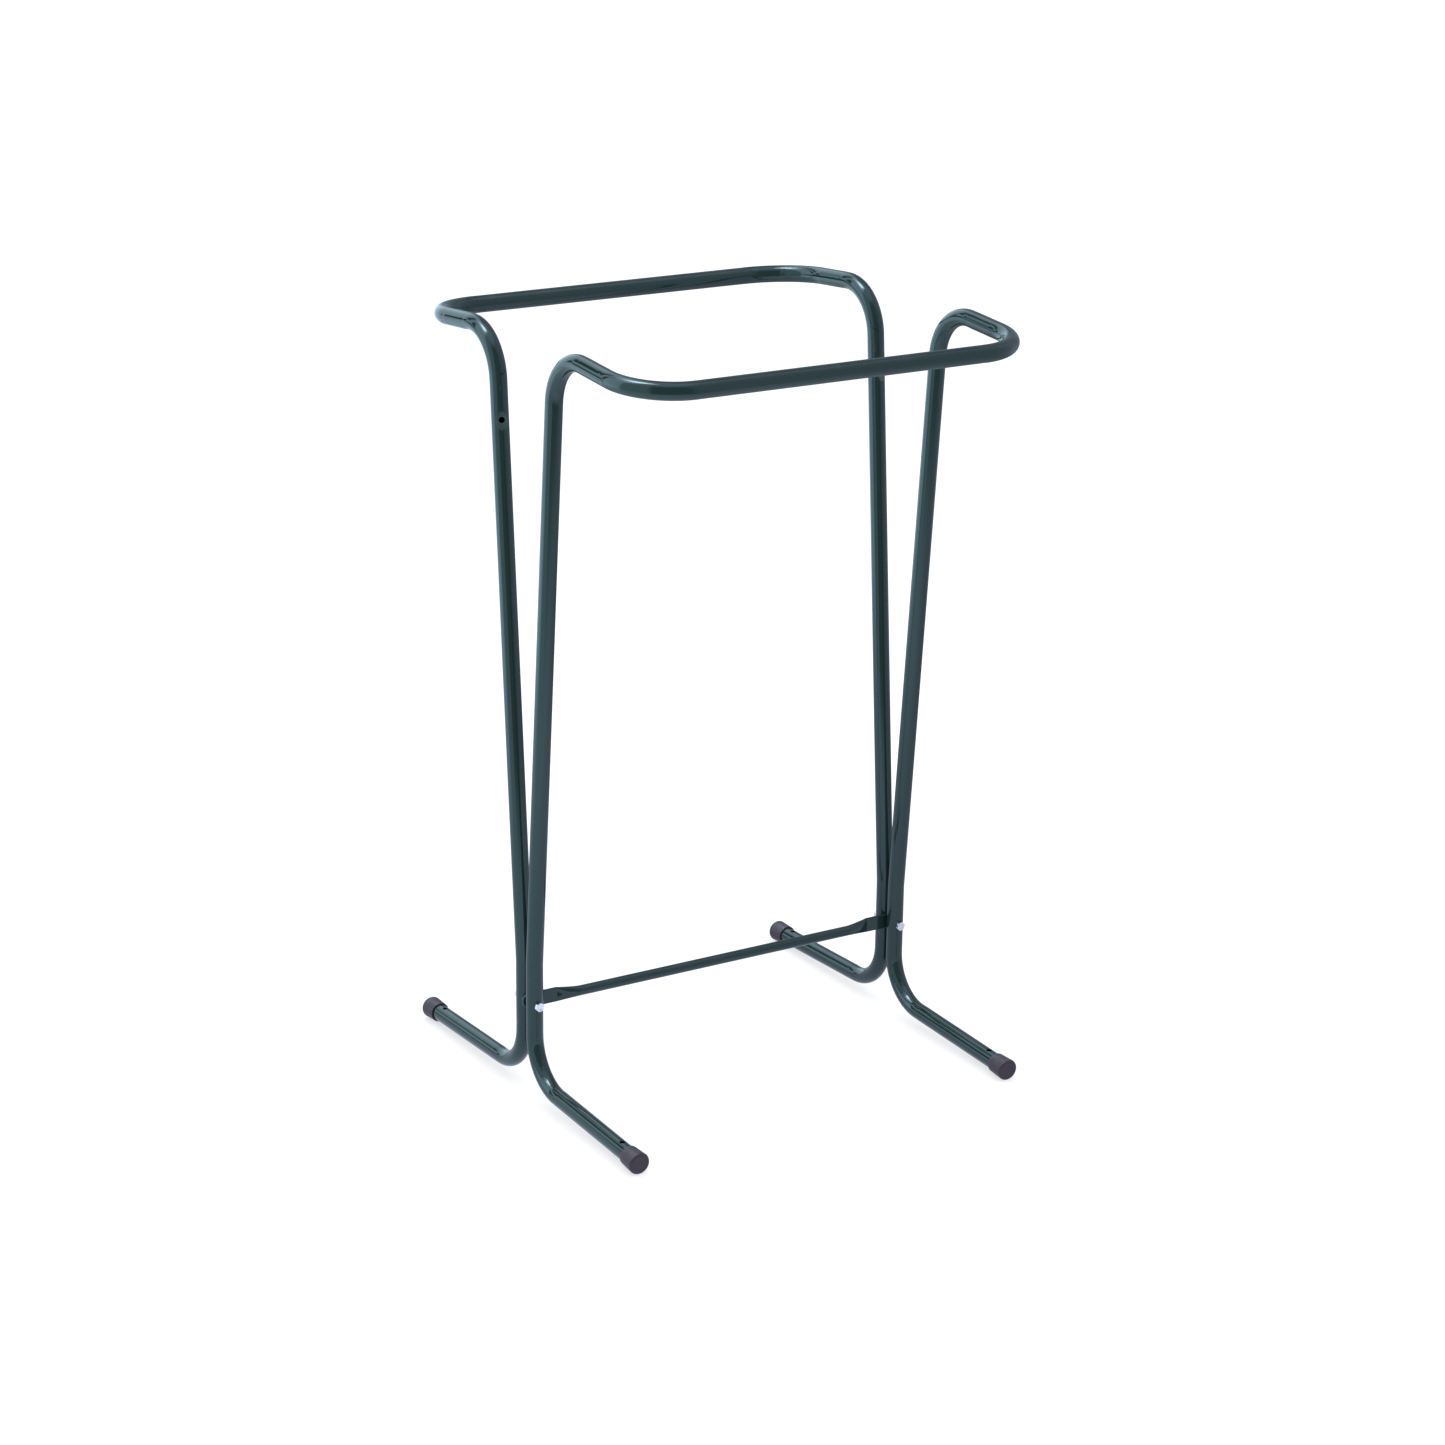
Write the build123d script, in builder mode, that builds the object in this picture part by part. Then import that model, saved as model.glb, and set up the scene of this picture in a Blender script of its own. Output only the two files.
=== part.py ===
from build123d import *
import os
from math import cos, radians, sin, tan

# Bin bag holder: two bent tube frames, back to back, bolted together with a crossbar between them.
# Millimetres and degrees. +Z is up, +X is to the right and the front is towards -Y.
# The origin is on the floor, in the middle of the stand.

# Overall shape
overall_height = 895
leg_spacing = 500       # between the middles of the left and right legs
rim_reach = 247.5       # from the middle of the stand to the middle of each rim bar
foot_reach = 254        # from the middle of the stand to the end face of each foot
kink_height = 163       # above it, the legs lean outwards
leg_lean = 4.4
foot_fall = 2           # the feet run down a little towards their ends

# Frame tube
tube_diameter = 20
tube_wall = 1.5
foot_bend = 58          # radii of the bends, at the middle of the tube
kink_bend = 80
top_bend = 58
rim_bend = 67

# Crossbar, a smaller tube with its ends pressed flat
bar_diameter = 12
bar_wall = 2
bar_flat_height = 18
bar_flat_run = 34       # from each bolt to the crease where the flat ends
bar_blend_run = 30      # from the crease to the full round tube
bar_end_reach = 10      # from each bolt to the end of the flat
bar_slit = 0.4          # what stays open inside the tube at the crease
bar_edge = 1.5          # rounding along the pressed ends

# Bolts and nuts that hold the frames and the crossbar
bolt_height = 115
bolt_diameter = 6
bolt_length = 50        # under the head
bolt_hole_clearance = 0.25
hex_across_flats = 10
head_height = 4
nut_height = 5
nut_clearance = 0.1
hex_chamfer = 0.8
hex_turn = 15           # how far from level the tightened hexagons stopped
thread_chamfer = 0.7

# Holes in the frame tube
foot_hole_diameter = 6.5
foot_hole_setback = 39  # from the end face of the foot
leg_hole_diameter = 7
leg_hole_drop = 107     # below the top of the stand
leg_hole_turn = 14      # outwards, from facing straight across the stand
dent_depth = 1.6        # the wall is pressed in around each leg hole
dent_radius = 36

# End caps on the feet
cap_length = 25
cap_mouth_diameter = 23.5
cap_end_diameter = 26
cap_end_wall = 3
cap_edge = 1.8          # rounding around the end face
cap_lip = 0.4           # rounding around the mouth
cap_clearance = 0.1

# Values that follow from the sizes above
tube_radius = tube_diameter / 2
bore_radius = tube_radius - tube_wall
bar_radius = bar_diameter / 2
bar_flat = 2 * bar_wall
leg_offset = tube_radius + bar_flat / 2
leg_x = leg_spacing / 2
lean = radians(leg_lean)
fall = radians(foot_fall)
leg_hole_height = overall_height - leg_hole_drop
sides = {"left": -1, "right": 1}

# The cap touches the floor at the rounding around its end face, so that sets the height of the foot.
cap_taper = (cap_end_diameter - cap_mouth_diameter) / 2 / cap_length
cap_slant = (1 + cap_taper**2) ** 0.5
cap_ring = cap_end_diameter / 2 - cap_edge * (cap_taper + cap_slant)
foot_tip_z = cap_ring * cos(fall) + cap_edge - cap_edge * sin(fall)
foot_corner_z = foot_tip_z + (foot_reach - leg_offset) * tan(fall)

# The top bend stands highest, and the arm beyond it is square to the leg.
top_corner_z = overall_height - tube_radius + top_bend * (cos(lean) + sin(lean) - 1)
top_corner_y = leg_offset + (top_corner_z - kink_height) * tan(lean)
rim_z = top_corner_z - (rim_reach - top_corner_y) * tan(lean)


def foot_point(side, setback):
    """Point on the middle line of a front foot, measured back from its end face."""
    return Vector(side * leg_x, setback * cos(fall) - foot_reach, foot_tip_z + setback * sin(fall))


def leg_axis_point(side, height):
    """Point on the middle line of a front leg, above the kink."""
    return Vector(side * leg_x, -leg_offset - (height - kink_height) * tan(lean), height)


def leg_hole_direction(side):
    """Way in which a front leg's hole faces: square to the leg, across the stand and a little outwards."""
    turn = radians(leg_hole_turn)
    return Vector(side * sin(turn), cos(turn) * cos(lean), cos(turn) * sin(lean))


# Front frame: feet, legs, arms and rim bar are one bent tube
rim_middle = Vector(0, -rim_reach, rim_z)
right_half = [
    rim_middle,
    Vector(leg_x, -rim_reach, rim_z),
    Vector(leg_x, -top_corner_y, top_corner_z),
    Vector(leg_x, -leg_offset, kink_height),
    Vector(leg_x, -leg_offset, foot_corner_z),
    foot_point(1, cap_end_wall),
]

# The dent's lining keeps the wall its full thickness where the tube is pressed in.
linings = []
dents = []
for side in sides.values():
    leg_middle = leg_axis_point(side, leg_hole_height)
    dent_centre = leg_middle + leg_hole_direction(side) * (tube_radius - dent_depth + dent_radius)
    with BuildPart() as dent:
        with Locations(dent_centre):
            Sphere(dent_radius)
    with BuildPart() as lining:
        with BuildSketch(Plane(leg_middle, z_dir=(0, -sin(lean), cos(lean)))):
            Circle(bore_radius)
        extrude(amount=dent_radius, both=True)
        with Locations(dent_centre):
            Sphere(dent_radius + tube_wall, mode=Mode.INTERSECT)
    dents.append(dent.part)
    linings.append(lining.part)

with BuildPart() as front_frame:
    with BuildLine() as tube_line:
        FilletPolyline(*right_half, radius=[rim_bend, top_bend, kink_bend, foot_bend])
    with BuildSketch(Plane(rim_middle, x_dir=(0, 1, 0), z_dir=(1, 0, 0))):
        Circle(tube_radius)
        Circle(bore_radius, mode=Mode.SUBTRACT)
    sweep(path=tube_line.wire())
    mirror(about=Plane.YZ)
    add(linings)
    add(dents, mode=Mode.SUBTRACT)
    for side in sides.values():
        with BuildSketch(Plane(leg_axis_point(side, leg_hole_height), z_dir=leg_hole_direction(side))):
            Circle(leg_hole_diameter / 2)
        extrude(amount=tube_diameter, mode=Mode.SUBTRACT)
        with BuildSketch(Plane.XY.offset(foot_point(side, foot_hole_setback).Z)):
            with Locations((side * leg_x, foot_point(side, foot_hole_setback).Y)):
                Circle(foot_hole_diameter / 2)
        extrude(amount=tube_diameter, both=True, mode=Mode.SUBTRACT)
        with BuildSketch(Plane.XZ.offset(leg_offset)):
            with Locations((side * leg_x, bolt_height)):
                Circle(bolt_diameter / 2 + bolt_hole_clearance)
        extrude(amount=tube_diameter, both=True, mode=Mode.SUBTRACT)

# Rear frame: the same tube, turned round
with BuildPart() as rear_frame:
    add(front_frame.part.rotate(Axis.Z, 180))

# Crossbar: the pressed ends lie between the legs, flush with the back of the round tube
bar_offset = bar_flat / 2 - bar_radius
crease_x = leg_x - bar_flat_run
round_x = crease_x - bar_blend_run
bar_end_radius = bar_flat_height / 2


def bar_plane(x, y):
    """Plane across the crossbar at a distance from its middle."""
    return Plane((x, y, bolt_height), x_dir=(0, 1, 0), z_dir=(1, 0, 0))


with BuildPart() as crossbar:
    with BuildSketch(bar_plane(-round_x, bar_offset)):
        Circle(bar_radius)
    extrude(amount=2 * round_x)
    for side in sides.values():
        with BuildSketch(bar_plane(side * round_x, bar_offset)):
            Circle(bar_radius)
        with BuildSketch(bar_plane(side * crease_x, 0)) as flat_section:
            RectangleRounded(bar_flat, bar_flat_height, bar_edge)
        loft()
        extrude(flat_section.sketch, amount=side * (bar_flat_run + bar_end_reach))
    with BuildSketch(bar_plane(-round_x, bar_offset)):
        Circle(bar_radius - bar_wall)
    extrude(amount=2 * round_x, mode=Mode.SUBTRACT)
    for side in sides.values():
        with BuildSketch(bar_plane(side * round_x, bar_offset)):
            Circle(bar_radius - bar_wall)
        with BuildSketch(bar_plane(side * crease_x, 0)):
            Ellipse(bar_slit / 2, bar_flat_height / 2 - bar_wall)
        loft(mode=Mode.SUBTRACT)
        with BuildSketch(Plane.XZ):
            with Locations((side * (leg_x + bar_end_reach - bar_end_radius / 2), bolt_height)):
                Rectangle(bar_end_radius, bar_flat_height)
            with Locations((side * (leg_x + bar_end_reach - bar_end_radius), bolt_height)):
                Circle(bar_end_radius, mode=Mode.SUBTRACT)
        extrude(amount=bar_flat, both=True, mode=Mode.SUBTRACT)
        with BuildSketch(Plane.XZ):
            with Locations((side * leg_x, bolt_height)):
                Circle(bolt_diameter / 2 + bolt_hole_clearance)
        extrude(amount=bar_flat, both=True, mode=Mode.SUBTRACT)

# Bolts from the front, nuts at the back
seat_y = leg_offset + tube_radius
hex_corner_radius = hex_across_flats / 2 / cos(radians(30))


def hexagon(plane, height):
    """Hexagon of a bolt head or nut on a plane, with its far corners chamfered."""
    with BuildPart() as disc:
        with BuildSketch(plane):
            Circle(hex_corner_radius)
        extrude(amount=height)
        far_edge = disc.edges().filter_by(GeomType.CIRCLE).sort_by(Axis(plane.origin, plane.z_dir))[-1]
        chamfer(far_edge, hex_chamfer)
    with BuildPart() as hexagon_part:
        with BuildSketch(plane):
            RegularPolygon(hex_corner_radius, 6, rotation=hex_turn)
        extrude(amount=height)
        add(disc, mode=Mode.INTERSECT)
    return hexagon_part.part


bolts = {}
nuts = {}
for side_name, side in sides.items():
    head_seat = Plane((side * leg_x, -seat_y, bolt_height), x_dir=(1, 0, 0), z_dir=(0, -1, 0))
    nut_seat = Plane((side * leg_x, seat_y, bolt_height), x_dir=(1, 0, 0), z_dir=(0, 1, 0))
    with BuildPart() as bolt:
        add(hexagon(head_seat, head_height))
        with BuildSketch(head_seat):
            Circle(bolt_diameter / 2)
        extrude(amount=-bolt_length)
        chamfer(bolt.edges().filter_by(GeomType.CIRCLE).sort_by(Axis.Y)[-1], thread_chamfer)
    bolts[side_name] = bolt
    with BuildPart() as nut:
        add(hexagon(nut_seat, nut_height))
        with BuildSketch(nut_seat):
            Circle(bolt_diameter / 2 + nut_clearance)
        extrude(amount=nut_height, mode=Mode.SUBTRACT)
    nuts[side_name] = nut

# End caps: plastic ferrules, a little wider towards the floor end
caps = {}
for side_name, side in sides.items():
    tip = foot_point(side, 0)
    inwards = Vector(0, cos(fall), sin(fall))
    with BuildPart() as cap:
        with BuildSketch(Plane(tip, x_dir=inwards, z_dir=(1, 0, 0))):
            with BuildLine():
                Polyline(
                    (0, 0),
                    (0, cap_end_diameter / 2),
                    (cap_length, cap_mouth_diameter / 2),
                    (cap_length, tube_radius + cap_clearance),
                    (cap_end_wall, tube_radius + cap_clearance),
                    (cap_end_wall, 0),
                    close=True,
                )
            make_face()
        revolve(axis=Axis(tip, inwards))
        rings = cap.edges().filter_by(GeomType.CIRCLE).group_by(Axis(tip, inwards))
        fillet(rings[0], cap_edge)
        fillet(rings[-1].sort_by(SortBy.RADIUS)[-1], cap_lip)
    caps["front_" + side_name + "_foot_cap"] = cap
for side_name, twin_name in (("left", "right"), ("right", "left")):
    with BuildPart() as turned_cap:
        add(caps["front_" + twin_name + "_foot_cap"].part.rotate(Axis.Z, 180))
    caps["rear_" + side_name + "_foot_cap"] = turned_cap

# Each piece in its own file
pieces = {"front_frame": front_frame, "rear_frame": rear_frame, "crossbar": crossbar}
for side_name in sides:
    pieces[side_name + "_bolt"] = bolts[side_name]
    pieces[side_name + "_nut"] = nuts[side_name]
pieces.update(caps)

os.makedirs("parts", exist_ok=True)
for name, piece in pieces.items():
    piece.part.label = name
    export_step(piece.part, "parts/" + name + ".step")
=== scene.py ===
import bmesh
import bpy
import math
import numpy as np
from mathutils import Matrix, Vector


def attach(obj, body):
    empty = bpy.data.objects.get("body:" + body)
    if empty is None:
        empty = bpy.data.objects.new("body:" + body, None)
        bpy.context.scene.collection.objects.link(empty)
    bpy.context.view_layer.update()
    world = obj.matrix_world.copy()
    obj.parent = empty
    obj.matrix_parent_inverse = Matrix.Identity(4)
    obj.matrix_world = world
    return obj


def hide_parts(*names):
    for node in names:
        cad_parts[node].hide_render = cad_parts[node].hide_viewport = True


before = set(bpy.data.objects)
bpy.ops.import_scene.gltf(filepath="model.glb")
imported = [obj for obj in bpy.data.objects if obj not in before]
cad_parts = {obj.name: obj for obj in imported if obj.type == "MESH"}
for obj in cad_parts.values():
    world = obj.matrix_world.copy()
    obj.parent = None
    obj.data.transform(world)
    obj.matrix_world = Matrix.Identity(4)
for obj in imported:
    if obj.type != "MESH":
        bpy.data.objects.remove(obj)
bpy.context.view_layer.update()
print("packed stand loaded,", len(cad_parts), "nodes")

mm = 0.001  # dictionaries are in millimetres and degrees, meshes in metres

stand = {
    "height": 895,
    "legSpacing": 500,
    "rimReach": 247.5,
    "footReach": 254,
    "kinkHeight": 163,
    "legLean": 4.4,
    "footFall": 2,
    "boltHeight": 115,
    "barThickness": 4,
}


# helpers for meshes and objects
def plainMesh(name, vertices, faces):
    mesh = bpy.data.meshes.new(name)
    mesh.from_pydata([tuple(float(c) for c in v) for v in vertices], [], faces)
    mesh.update()
    return mesh


def closedShell(name, meshes, mergeDistance=1e-6):
    # joins the meshes, merges doubled points, drops loose ones and turns the faces outwards
    work = bmesh.new()
    for mesh in meshes:
        work.from_mesh(mesh)
    bmesh.ops.remove_doubles(work, verts=work.verts, dist=mergeDistance)
    loose = [v for v in work.verts if not v.link_faces]
    bmesh.ops.delete(work, geom=loose, context="VERTS")
    bmesh.ops.recalc_face_normals(work, faces=work.faces)
    shell = bpy.data.meshes.new(name)
    work.to_mesh(shell)
    work.free()
    shell.shade_smooth()
    return shell


def inScene(name, data):
    thing = bpy.data.objects.new(name, data)
    bpy.context.scene.collection.objects.link(thing)
    return thing


def bakedCopy(holder):
    graph = bpy.context.evaluated_depsgraph_get()
    mesh = bpy.data.meshes.new_from_object(holder.evaluated_get(graph))
    bpy.data.objects.remove(holder)
    return mesh


def shownPiece(name, mesh, finish):
    # normals follow the large faces, so narrow roundings catch the light
    holder = inScene(name, mesh)
    holder.modifiers.new("faceWeights", "WEIGHTED_NORMAL").weight = 80
    mesh = bakedCopy(holder)
    mesh.name = name
    mesh.materials.clear()
    mesh.materials.append(finish)
    return inScene(name, mesh)


def stripFaces(first, second):
    # faces between two loops of points, either of which may be a single pole
    faces = []
    for k in range(max(len(first), len(second))):
        corners = [loop[n % len(loop)] for loop, n in
                   ((first, k), (first, k + 1), (second, k + 1), (second, k))]
        faces.append(tuple(dict.fromkeys(corners)))
    return faces


# helpers for node trees
def feed(tree, node, values):
    for socket, value in values.items():
        if isinstance(value, bpy.types.NodeSocket):
            tree.links.new(value, node.inputs[socket])
        else:
            node.inputs[socket].default_value = value


def addNode(tree, kind, values=None, **settings):
    node = tree.nodes.new(kind)
    for key, setting in settings.items():
        setattr(node, key, setting)
    feed(tree, node, values or {})
    return node


def newTree(name, kind, inputs, outputs):
    # inputs are label: (socket type, starting value), outputs are label: socket type
    tree = bpy.data.node_groups.new(name, kind)
    for label, (socketType, *start) in inputs.items():
        socket = tree.interface.new_socket(
            label, in_out="INPUT", socket_type="NodeSocket" + socketType)
        if start:
            socket.default_value = start[0]
    for label, socketType in outputs.items():
        tree.interface.new_socket(
            label, in_out="OUTPUT", socket_type="NodeSocket" + socketType)
    return tree, addNode(tree, "NodeGroupInput").outputs


def putOut(tree, values):
    addNode(tree, "NodeGroupOutput", values)
    return tree


def calc(tree, operation, *values, clamp=False):
    return addNode(tree, "ShaderNodeMath", dict(enumerate(values)),
                   operation=operation, use_clamp=clamp).outputs[0]


def times(tree, first, second):
    return calc(tree, "MULTIPLY", first, second)


def minus(tree, first, second):
    return calc(tree, "SUBTRACT", first, second)


def timesPlus(tree, value, factor, base, clamp=False):
    return calc(tree, "MULTIPLY_ADD", value, factor, base, clamp=clamp)


def vectorCalc(tree, operation, *values):
    node = addNode(tree, "ShaderNodeVectorMath", dict(enumerate(values)), operation=operation)
    return node.outputs["Value" if operation in ("DOT_PRODUCT", "LENGTH") else "Vector"]


def scaled(tree, vector, factor):
    return addNode(tree, "ShaderNodeVectorMath", {0: vector, "Scale": factor},
                   operation="SCALE").outputs["Vector"]


def splitOf(tree, vector):
    return addNode(tree, "ShaderNodeSeparateXYZ", {0: vector}).outputs


def noiseOf(tree, place, scale, detail, roughness=0.5):
    return addNode(tree, "ShaderNodeTexNoise", {
        "Vector": place, "Scale": scale, "Detail": detail, "Roughness": roughness,
    }).outputs["Fac"]


def rangeOf(tree, value, low, high, blend="LINEAR"):
    return addNode(tree, "ShaderNodeMapRange", {
        "Value": value, "From Min": low, "From Max": high,
    }, interpolation_type=blend).outputs["Result"]


def ramp(tree, value, low, high):
    return rangeOf(tree, value, low, high, "SMOOTHSTEP")


def mixColour(tree, factor, first, second):
    return addNode(tree, "ShaderNodeMix", {0: factor, 6: first, 7: second},
                   data_type="RGBA").outputs[2]


def storedValue(tree, name, kind="FLOAT"):
    return addNode(tree, "GeometryNodeInputNamedAttribute", {"Name": name},
                   data_type=kind).outputs["Attribute"]


def runTree(tree, mesh, name, values):
    holder = inScene(name, mesh)
    modifier = holder.modifiers.new(name, "NODES")
    modifier.node_group = tree
    for item in tree.interface.items_tree:
        if item.item_type == "SOCKET" and item.in_out == "INPUT" and item.name in values:
            modifier[item.identifier] = values[item.name]
    return bakedCopy(holder)


# camera at the photograph's angle
cameraSettings = {
    "azimuth": 31.7034,
    "elevation": 18.5122,
    "roll": -0.7198,
    "place": (-1974.382, -3206.541, 1671.890),
    "focalPixels": 3421.03,
    "framePixels": 1445,
    "sensor": 36,
    "clip": (0.1, 200),  # metres
}


def makeCamera(settings):
    azimuth, elevation, roll = (
        math.radians(settings[k]) for k in ("azimuth", "elevation", "roll"))
    forward = Vector((
        math.sin(azimuth) * math.cos(elevation),
        math.cos(azimuth) * math.cos(elevation),
        -math.sin(elevation),
    ))
    right = Vector((math.cos(azimuth), -math.sin(azimuth), 0))
    down = forward.cross(right)
    turnedRight = math.cos(roll) * right + math.sin(roll) * down
    turnedDown = -math.sin(roll) * right + math.cos(roll) * down
    lens = bpy.data.cameras.new("photoView")
    lens.sensor_width = settings["sensor"]
    lens.lens = settings["focalPixels"] / settings["framePixels"] * settings["sensor"]
    lens.clip_start, lens.clip_end = settings["clip"]
    camera = inScene("photoView", lens)
    columns = Matrix((turnedRight, -turnedDown, -forward)).transposed()
    camera.matrix_world = Matrix.Translation(Vector(settings["place"]) * mm) @ columns.to_4x4()
    bpy.context.scene.camera = camera


makeCamera(cameraSettings)
print("camera set")


# marks that the finishes share; noise scales are per metre
def finishGroup(name, sizes, outputs):
    inputs = {"Place": ("Vector",)}
    inputs.update((label, ("Float", size)) for label, size in sizes.items())
    return newTree(name, "ShaderNodeTree", inputs, dict.fromkeys(outputs, "Float"))


peelMarks = {
    "grainShare": 0.25,
    "peelNoise": {"detail": 1.0, "roughness": 0.4},
    "grainNoise": {"detail": 2.0, "roughness": 0.6},
}


def peelGroup(marks):
    tree, given = finishGroup(
        "coatingPeel", {"Peel Size": 1.6, "Grain Size": 0.35}, ["Height", "Grain"])
    peelScale = calc(tree, "DIVIDE", 1 / mm, given["Peel Size"])
    grainScale = calc(tree, "DIVIDE", 1 / mm, given["Grain Size"])
    peel = noiseOf(tree, given["Place"], peelScale, **marks["peelNoise"])
    grain = noiseOf(tree, given["Place"], grainScale, **marks["grainNoise"])
    height = timesPlus(tree, grain, marks["grainShare"], peel)
    return putOut(tree, {"Height": height, "Grain": grain})


scuffMarks = {
    "streakTurn": (0.3, 0.5, 0.9),
    "streakScale": (260.0, 26.0, 40.0),
    "streakNoise": {"scale": 1.0, "detail": 3.0},
    "streakRange": (0.66, 0.76),
    "patchNoise": {"scale": 14.0, "detail": 2.0},
    "patchRange": (0.52, 0.68),
    "smudgeNoise": {"scale": 38.0, "detail": 4.0, "roughness": 0.62},
    "smudgeRange": (0.42, 0.72),
}


def scuffGroup(marks):
    tree, given = finishGroup("handlingScuffs", {"Amount": 0.5}, ["Scuff", "Smudge"])
    place = given["Place"]
    turned = addNode(tree, "ShaderNodeMapping", {
        "Vector": place, "Rotation": marks["streakTurn"], "Scale": marks["streakScale"]})
    streak = noiseOf(tree, turned.outputs["Vector"], **marks["streakNoise"])
    thin = rangeOf(tree, streak, *marks["streakRange"])
    spots = rangeOf(tree, noiseOf(tree, place, **marks["patchNoise"]), *marks["patchRange"])
    scuff = calc(tree, "MULTIPLY", times(tree, thin, spots), given["Amount"], clamp=True)
    smudge = rangeOf(tree, noiseOf(tree, place, **marks["smudgeNoise"]), *marks["smudgeRange"])
    return putOut(tree, {"Scuff": scuff, "Smudge": smudge})


dustMarks = {
    "slopeRange": (0.45, 1.0),  # how level a surface is before dust stays on it
    "speckNoise": {"scale": 900.0, "detail": 3.0},
    "speckRange": (0.5, 0.75),
    "speckShare": 0.6,
    "patchNoise": {"scale": 30.0, "detail": 3.0},
    "patchRange": (0.35, 0.7),
}


def dustGroup(marks):
    tree, given = finishGroup("settledDust", {"Amount": 0.1}, ["Dust"])
    place = given["Place"]
    upward = splitOf(tree, addNode(tree, "ShaderNodeNewGeometry").outputs["Normal"])["Z"]
    slope = rangeOf(tree, upward, *marks["slopeRange"])
    fine = rangeOf(tree, noiseOf(tree, place, **marks["speckNoise"]), *marks["speckRange"])
    broad = rangeOf(tree, noiseOf(tree, place, **marks["patchNoise"]), *marks["patchRange"])
    mixed = times(tree, timesPlus(tree, fine, marks["speckShare"], broad), slope)
    return putOut(tree, {"Dust": calc(tree, "MULTIPLY", mixed, given["Amount"], clamp=True)})


# where the painted sheen round each leg hole's dent sits
dentSheenMarks = {
    "aside": 252.3,
    "level": 788,
    "edgeRange": (1.05, 0.8),  # share of the reach over which the oval fades
    "depthRange": (55.5, 51.5),
}


def dentSheenGroup(marks):
    # painted sheen: a lighter oval round each leg hole that stands in for the dent's light ring,
    # alike on both sides of the stand
    tree, given = finishGroup("dentPaintedSheen", {"Side Reach": 7.0, "Upright Reach": 11.0}, ["Mark"])
    parts = splitOf(tree, vectorCalc(tree, "ABSOLUTE", given["Place"]))
    squares = []
    for axis, middle, reach in (
            ("X", marks["aside"], "Side Reach"), ("Z", marks["level"], "Upright Reach")):
        share = calc(tree, "DIVIDE", minus(tree, parts[axis], middle * mm),
                     times(tree, given[reach], mm))
        squares.append(times(tree, share, share))
    near = rangeOf(tree, calc(tree, "SQRT", calc(tree, "ADD", *squares)), *marks["edgeRange"])
    inner = rangeOf(tree, parts["Y"], *(depth * mm for depth in marks["depthRange"]))
    return putOut(tree, {"Mark": times(tree, near, inner)})


shared = {
    "peel": peelGroup(peelMarks),
    "scuffs": scuffGroup(scuffMarks),
    "dust": dustGroup(dustMarks),
    "pressed": dentSheenGroup(dentSheenMarks),
}


def startFinish(name):
    finish = bpy.data.materials.new(name)
    finish.use_nodes = True
    tree = finish.node_tree
    place = addNode(tree, "ShaderNodeTexCoord").outputs["Object"]
    return finish, tree, tree.nodes["Principled BSDF"], place


def useGroup(tree, key, values):
    return addNode(tree, "ShaderNodeGroup", values, node_tree=shared[key]).outputs


# the finishes: each mask of "tones" lays a colour over the first one,
# and each mask of "roughening" adds to the roughness
coatingLook = {
    "colour": (0.0105, 0.024, 0.0235, 1),
    "cloudNoise": {"scale": 9.0, "detail": 3.0},
    "cloudRange": (0.0, 1.0),
    "tones": {
        "Cloud": (0.007, 0.021, 0.019, 1),
        "Scuff": (0.05, 0.065, 0.065, 1),
        "Dust": (0.35, 0.36, 0.38, 1),
        # Mark is painted sheen, a lighter colour over each leg hole's dent in place of its
        # reflected light ring
        "Mark": (0.038, 0.060, 0.062, 1),
    },
    "roughness": 0.045,
    "roughening": {"Smudge": 0.04, "Mark": 0.12, "Scuff": 0.3, "Dust": 0.5},
    "groups": {
        "peel": {"Peel Size": 2.2, "Grain Size": 0.4},
        "scuffs": {"Amount": 0.5},
        "dust": {"Amount": 0.05},
        "pressed": {"Side Reach": 7.0, "Upright Reach": 11.0},
    },
    "bump": 0.35,
    "bumpDepth": 0.02,
    "shader": {"Specular Tint": (0.81, 0.95, 1.0, 1), "IOR": 1.515},
}
zincLook = {
    "colour": (0.92, 0.87, 0.89, 1),
    "cloudNoise": {"scale": 320.0, "detail": 4.0, "roughness": 0.6},
    "cloudRange": (0.35, 0.7),
    "tones": {"Cloud": (0.70, 0.67, 0.70, 1)},
    "roughness": 0.24,
    "roughening": {"Cloud": 0.2, "Scuff": 0.2},
    "groups": {"peel": {"Peel Size": 0.9, "Grain Size": 0.18}, "scuffs": {"Amount": 0.8}},
    "bump": 0.25,
    "bumpDepth": 0.015,
    "shader": {"Metallic": 1},
}
plasticLook = {
    "colour": (0.033, 0.020, 0.033, 1),
    "cloudNoise": {"scale": 60.0, "detail": 3.0},
    "cloudRange": (0.0, 1.0),
    "tones": {
        "Cloud": (0.025, 0.016, 0.026, 1),
        "Scuff": (0.12, 0.11, 0.125, 1),
        "Dust": (0.32, 0.31, 0.33, 1),
    },
    "roughness": 0.42,
    "roughening": {"Smudge": 0.12, "Grain": 0.08},
    "groups": {
        "peel": {"Peel Size": 0.7, "Grain Size": 0.16},
        "scuffs": {"Amount": 1.0},
        "dust": {"Amount": 0.12},
    },
    "bump": 0.5,
    "bumpDepth": 0.03,
    "shader": {"Specular IOR Level": 0.42},
}


def markedFinish(name, look):
    finish, tree, shader, place = startFinish(name)
    cloud = noiseOf(tree, place, **look["cloudNoise"])
    masks = {"Cloud": rangeOf(tree, cloud, *look["cloudRange"])}
    for key, values in look["groups"].items():
        masks.update(useGroup(tree, key, {"Place": place, **values}).items())
    tone, rough = look["colour"], look["roughness"]
    for mask, colour in look["tones"].items():
        tone = mixColour(tree, masks[mask], tone, colour)
    for mask, amount in look["roughening"].items():
        rough = timesPlus(tree, masks[mask], amount, rough, clamp=True)
    bump = addNode(tree, "ShaderNodeBump", {
        "Height": masks["Height"], "Strength": look["bump"], "Distance": look["bumpDepth"] * mm})
    feed(tree, shader, {
        "Base Color": tone, "Roughness": rough, "Normal": bump.outputs["Normal"],
        **look["shader"]})
    return finish


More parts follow.
